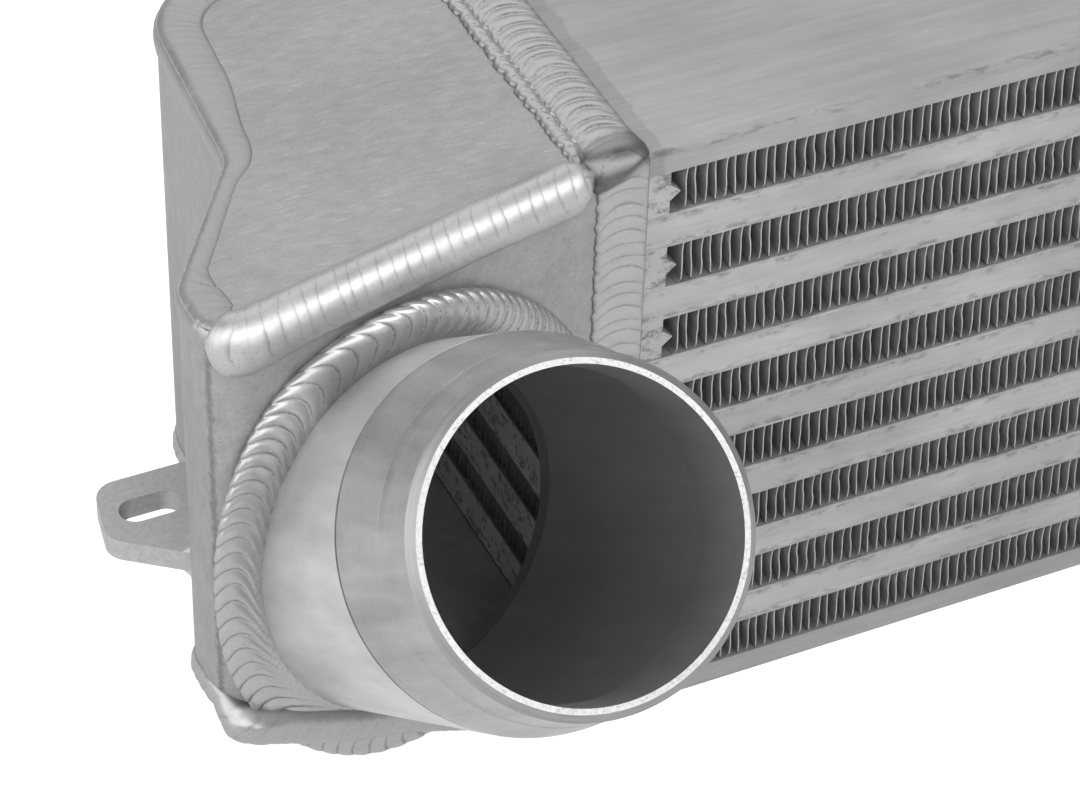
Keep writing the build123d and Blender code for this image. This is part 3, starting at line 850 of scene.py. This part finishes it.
def turned_metal(name, grey, rough, marks=0.10, painted_reflection_streaks=0.05, metallic=0.85):
    """Metal with marks that run round the neck's axis, and soft streaks along it that are painted
    reflections.
    """
    material, tree, shader = new_material(name)
    turning = add_node(tree, "ShaderNodeAttribute", attribute_name="turning").outputs["Vector"]
    rounds, lengthwise = (add_node(tree, "ShaderNodeMapping", {"Vector": turning, "Scale": scale}).outputs[0]
                          for scale in ((2, 2, 9), (5, 5, 0.03)))
    rings = noise(tree, rounds, 1.0, 6.0, 0.7)
    # Painted reflection: soft light and dark streaks along the axis.
    streak = noise(tree, lengthwise, 1.0, 6.0, 0.62)
    shade = times(tree, ramp(tree, rings, 1 - marks, 1 + marks), ramp(tree, streak, 1 - painted_reflection_streaks, 1 + painted_reflection_streaks))
    give_skin(tree, shader, scaled(tree, grey, shade), metallic,
              ramp(tree, rings, rough - 0.05, rough + 0.07), rings, 0.00002)
    return material


neck_metal = turned_metal("neck_metal", NECK_GREY, 0.37, marks=0.05, painted_reflection_streaks=0.16, metallic=0.7)
bore_metal = turned_metal("bore_metal", BORE_GREY, 0.38, painted_reflection_streaks=0.08)
neck_profile = [(NECK_RADIUS, slant_reach(NECK_RADIUS, lift=FOOT_GAP)), (NECK_RADIUS, NECK_MIDDLE),
                (NECK_RADIUS, NECK_LENGTH), (NECK_BORE, NECK_LENGTH), (NECK_BORE, NECK_MIDDLE),
                (NECK_BORE, slant_reach(NECK_BORE, lift=FOOT_GAP))]
for side in ("left", "right"):
    turned_piece(f"{side}_neck_tube", side, neck_profile, [neck_metal] * 3 + [bore_metal] * 3, sharp=40,
                 stands_for=f"{side}_neck")

# ----------------------------------------
# Neck welds.
# A fat rope of crescents round the slanting joint of neck and front plate. Above the neck it is
# broadest and climbs highest, and its crescents are shallow under the top seam.

ROPE_STEPS = 1100
ROPE_POINTS = 40
ROPE_PITCH = 2.1
ROPE_FULLNESS = 0.92
ROPE_GREY = (0.47, 0.47, 0.465)
foot_ring = round_points(NECK_RADIUS, slant_reach(NECK_RADIUS, ROPE_STEPS), ROPE_STEPS)
foot_tangent = tangents(foot_ring, closed=True)
foot_away = unit(np.cross(plate_normal, foot_tangent))
foot_away *= np.sign((foot_away * (foot_ring - neck_foot)).sum(-1))[:, None]
foot_spoke = unit(foot_ring - neck_foot - ((foot_ring - neck_foot) @ neck_axis)[:, None] * neck_axis)
foot_climb = unit(np.cross(foot_spoke, foot_tangent))
foot_climb *= np.sign(foot_climb @ plate_normal)[:, None]


def by_angle(turns, values):
    """Values round the neck, from a few at given degrees: 0 is straight out and 90 is up."""
    return np.interp(np.degrees(round_angles(ROPE_STEPS)), turns, values, period=360)


toe_turns = (-150, -120, -80, -50, 0, 30, 48, 70, 90, 120, 150, 180)
toes_on_plate = (9.0, 9.5, 11.0, 9.8, 9.4, 11.2, 12.9, 11.4, 10.8, 10.8, 10.4, 9.2)
toes_on_neck = (3.0, 2.6, 2.4, 2.2, 2.3, 3.4, 4.8, 6.0, 6.6, 5.5, 4.0, 3.2)
out_toe, up_toe = (smoothed(by_angle(toe_turns, toes), np.hanning(71), "wrap")
                   for toes in (toes_on_plate, toes_on_neck))
ripple_turns = (-180, -90, -40, 0, 25, 48, 58, 66, 92, 110)
rope_ripple = by_angle(ripple_turns, (0.9, 1.0, 1.1, 1.1, 1.0, 0.9, 0.35, 0.40, 0.55, 0.75))
rope_crowding = by_angle(ripple_turns, (0.8, 0.62, 0.50, 0.54, 0.78, 1.0, 0.66, 0.62, 0.85, 1.0))
rope_bow = by_angle(ripple_turns, (1.2, 1.5, 1.75, 1.7, 1.45, 1.3, 1.2, 1.2, 1.2, 1.2))
rope_bow_peak = by_angle(ripple_turns, (0.0, -0.3, -0.45, -0.4, -0.2, 0, 0, 0, 0, 0))
rows = []
swells = []
across = []
for share in np.linspace(0, 1, ROPE_POINTS):
    swing = share * math.pi / 2
    out_share = math.cos(swing) ** ROPE_FULLNESS
    out = (out_toe * out_share)[:, None]
    climb = (up_toe * math.sin(swing) ** ROPE_FULLNESS)[:, None]
    rows.append(foot_ring + foot_away * out + foot_climb * climb)
    swells.append(rope_ripple * math.sin(math.pi * (0.06 + 0.88 * share)) ** 0.5)
    across.append(1 - 2 * out_share)
rows.append(foot_ring + foot_climb * (up_toe * 0.9)[:, None] - foot_spoke)
rows.append(foot_ring - plate_normal - foot_spoke)
rows.append(foot_ring + foot_away * (out_toe * 0.9)[:, None] - plate_normal)
swells += [np.zeros(ROPE_STEPS)] * 3
across += [1, 0, -1]

# The crescents bow towards the middle of the rope, and a whole number of them closes it.
foot_reach = travelled(foot_ring, rope_crowding[1:])
around_foot = foot_reach[-1] + np.linalg.norm(foot_ring[0] - foot_ring[-1]) * rope_crowding[0]
rope_pitch = around_foot / round(around_foot / ROPE_PITCH)
off_peak = np.abs(np.array(across) - rope_bow_peak[:, None])
bowed_reach = foot_reach[:, None] + rope_pitch * rope_bow[:, None] * off_peak ** 2.2
rope_metal = bead_metal("neck_bead_metal", ROPE_GREY, 0.34, line=0.55, toe_soot_and_shade=0.4, width=0.24)
for number, side in enumerate(("left", "right")):
    bead(side, "neck", np.stack(rows, 1), np.stack(swells, 1), bowed_reach, rope_metal, pitch=rope_pitch,
         depth=0.00056, bow=0.0, unevenness=0.0, seed=63.0 + number, closed=True, across=across)

# ----------------------------------------
# Hose rings.
# A turned ring set on the neck behind a fine groove painted black as its shadow: a swell that
# curves in to the hose stub, a chamfered rim in a darker grey as painted shade, and a bare, bright,
# freckled end face.

RING_LENGTH = 28.1
STUB_BORE = 29.0
BORE_STEP = 14.0
CHAMFER = 1.4
GROOVE = 1.05
GROOVE_FLOOR = NECK_RADIUS - 1.2
RING_GREY = (0.385, 0.385, 0.38)
# Darker than the ring: painted shade on the chamfer that dims its highlight.
CHAMFER_SHADED_GREY = (0.34, 0.34, 0.335)
FACE_GREY = (0.57, 0.57, 0.56)
# Painted shadow: the groove and the ring's hidden rear face are nearly black.
GROOVE_SHADOW_BLACK = (0.012, 0.012, 0.012)
ring_metal = turned_metal("ring_metal", RING_GREY, 0.28, marks=0.09, painted_reflection_streaks=0.22, metallic=0.72)
groove_painted_shadow = turned_metal("groove_painted_shadow", GROOVE_SHADOW_BLACK, 0.8, metallic=0.0)
chamfer_metal = turned_metal("chamfer_metal", CHAMFER_SHADED_GREY, 0.42, marks=0.16)
face_metal = worked_metal("end_face_metal", FACE_GREY, (900, 900, 900), streak=0.16, speck=0.45, rough=0.5)
swell_steps = [(NECK_RADIUS, GROOVE), (35.4, 2.6), (34.95, 5.1), (34.4, 7.8), (33.95, 10.2), (33.5, 12.7),
               (33.15, 15.0), (33.0, 16.4), (32.88, 16.6), (32.4, 20.0), (31.95, 23.5)]
ring_profile = [(GROOVE_FLOOR, 0.0), (GROOVE_FLOOR, GROOVE), *swell_steps,
                (31.6, RING_LENGTH - CHAMFER), (30.1, RING_LENGTH), (STUB_BORE, RING_LENGTH),
                (STUB_BORE, RING_LENGTH - 0.4), (STUB_BORE, BORE_STEP), (NECK_BORE, 0.0)]
ring_profile = [(radius, NECK_LENGTH + reach) for radius, reach in ring_profile]
ring_bands = [groove_painted_shadow] * 2 + [ring_metal] * len(swell_steps) + [chamfer_metal, face_metal]
ring_bands += [bore_metal] * 3 + [groove_painted_shadow]
for side in ("left", "right"):
    turned_piece(f"{side}_stub_ring", side, ring_profile, ring_bands, sharp=24,
                 stands_for=f"{side}_hose_ring")

# ----------------------------------------
# Brackets.
# A slotted plate welded to the flare of each tank, with a coarse blasted skin and fillet beads
# over and under its joint.

BRACKET_GREY = (0.50, 0.50, 0.495)
BRACKET_BEAD_GREY = (0.62, 0.62, 0.61)
bracket_metal = worked_metal("bracket_metal", BRACKET_GREY, (900, 900, 900), rough=0.55, streak=0.14,
                             speck=0.10, depth=0.00010)
bracket_bead_metal = worked_metal("bracket_bead_metal", BRACKET_BEAD_GREY, (500, 500, 500), rough=0.3,
                                  streak=0.15, depth=0.0002)
for side in ("left", "right"):
    wear([f"{side}_bracket"], bracket_metal)
    wear([f"{side}_bracket_weld"], bracket_bead_metal)

# ----------------------------------------
# Studio.
# A pale painted floor under the part, which keeps its shadow and is clear from below, a white
# surround, and four large soft lamps, the hardest of them to the right of the camera.

FLOOR_SIZE = 6.0
FLOOR_GAP = 0.0003
FLOOR_GLOW = 0.75
FLOOR_IN_GLOSS = 0.4
SURROUND_LIGHT = 0.42
WHITE = (1, 1, 1, 1)
scene = bpy.context.scene
scene.view_settings.view_transform = "Standard"

floor_height = cad_box[0][2] - FLOOR_GAP
half = FLOOR_SIZE / 2
floor_corners = [(x * half, y * half, floor_height) for x, y in ((-1, -1), (1, -1), (1, 1), (-1, 1))]
floor_mesh = bpy.data.meshes.new("floor")
floor_mesh.from_pydata(floor_corners, [], [(0, 1, 2, 3)])
floor = new_piece("floor", floor_mesh)
floor_paint, tree, shader = new_material("floor_paint")
shader.inputs["Base Color"].default_value = (0.5, 0.5, 0.5, 1)
shader.inputs["Roughness"].default_value = 0.9
shader.inputs["Emission Color"].default_value = WHITE
rays = add_node(tree, "ShaderNodeLightPath").outputs
straight = reckon(tree, "MAXIMUM", rays["Is Camera Ray"], rays["Is Transmission Ray"])
mirrored = times(tree, rays["Is Glossy Ray"], FLOOR_IN_GLOSS)
glow = times(tree, reckon(tree, "MAXIMUM", straight, mirrored), FLOOR_GLOW)
tree.links.new(glow, shader.inputs["Emission Strength"])
clear = add_node(tree, "ShaderNodeBsdfTransparent")
from_below = add_node(tree, "ShaderNodeNewGeometry").outputs["Backfacing"]
one_way = add_node(tree, "ShaderNodeMixShader", {0: from_below, 1: shader.outputs[0], 2: clear.outputs[0]})
tree.links.new(one_way.outputs["Shader"], tree.nodes["Material Output"].inputs["Surface"])
floor_mesh.materials.append(floor_paint)

world = bpy.data.worlds.new("studio")
scene.world = world
world.use_nodes = True
tree = world.node_tree
tree.nodes.clear()
camera_only = add_node(tree, "ShaderNodeLightPath").outputs["Is Camera Ray"]
strength = ramp(tree, camera_only, SURROUND_LIGHT, 1.0, 0.0, 1.0)
surround = add_node(tree, "ShaderNodeBackground", {"Color": WHITE, "Strength": strength})
add_node(tree, "ShaderNodeOutputWorld", {"Surface": surround.outputs[0]})


def soft_lamp(name, place, aim, size, power):
    """A flat lamp of a given width and height, aimed at a point."""
    lamp = bpy.data.lights.new(name, "AREA")
    lamp.shape = "RECTANGLE"
    lamp.size, lamp.size_y = size
    lamp.energy = power
    holder = new_piece(name, lamp)
    holder.location = place
    holder.rotation_euler = (Vector(aim) - Vector(place)).to_track_quat("-Z", "Y").to_euler()


soft_lamp("right_key", (0.83, -0.91, 1.27), aim=(-0.27, -0.05, 0.14), size=(0.9, 0.65), power=8.5)
soft_lamp("front_fill", (-0.45, -1.20, 1.40), aim=(-0.28, -0.05, 0.1), size=(2.4, 1.7), power=27)
soft_lamp("left_fill", (-1.7, -0.1, 0.8), aim=(-0.25, 0, 0.1), size=(1.8, 1.4), power=13)
soft_lamp("rear_sky", (0.3, 1.6, 1.7), aim=(-0.2, 0, 0.1), size=(2.2, 1.6), power=9)

# ----------------------------------------
# Camera.
# A long lens, in front of the left tank's outer corner and above it, looks down on its neck and
# along the core. It is turned a little about its own axis.

CAMERA_PLACE = (-0.4903, -0.5535, 0.5698)
CAMERA_AZIMUTH = 26.02
CAMERA_DOWN = 40.23
CAMERA_ROLL = -1.735
CAMERA_LENS = 128.2

azimuth, down, roll = (math.radians(angle) for angle in (CAMERA_AZIMUTH, CAMERA_DOWN, CAMERA_ROLL))
ahead = Vector((math.sin(azimuth) * math.cos(down), math.cos(azimuth) * math.cos(down), -math.sin(down)))
level_right = ahead.cross(Vector((0, 0, 1))).normalized()
level_down = ahead.cross(level_right)
camera_right = math.cos(roll) * level_right + math.sin(roll) * level_down
camera_up = math.sin(roll) * level_right - math.cos(roll) * level_down
camera_data = bpy.data.cameras.new("camera")
camera_data.lens = CAMERA_LENS
camera_data.sensor_width = 36
camera_data.clip_start = 0.01
camera = new_piece("camera", camera_data)
turn = Matrix((camera_right, camera_up, -ahead)).transposed()
camera.matrix_world = Matrix.Translation(CAMERA_PLACE) @ turn.to_4x4()
scene.camera = camera
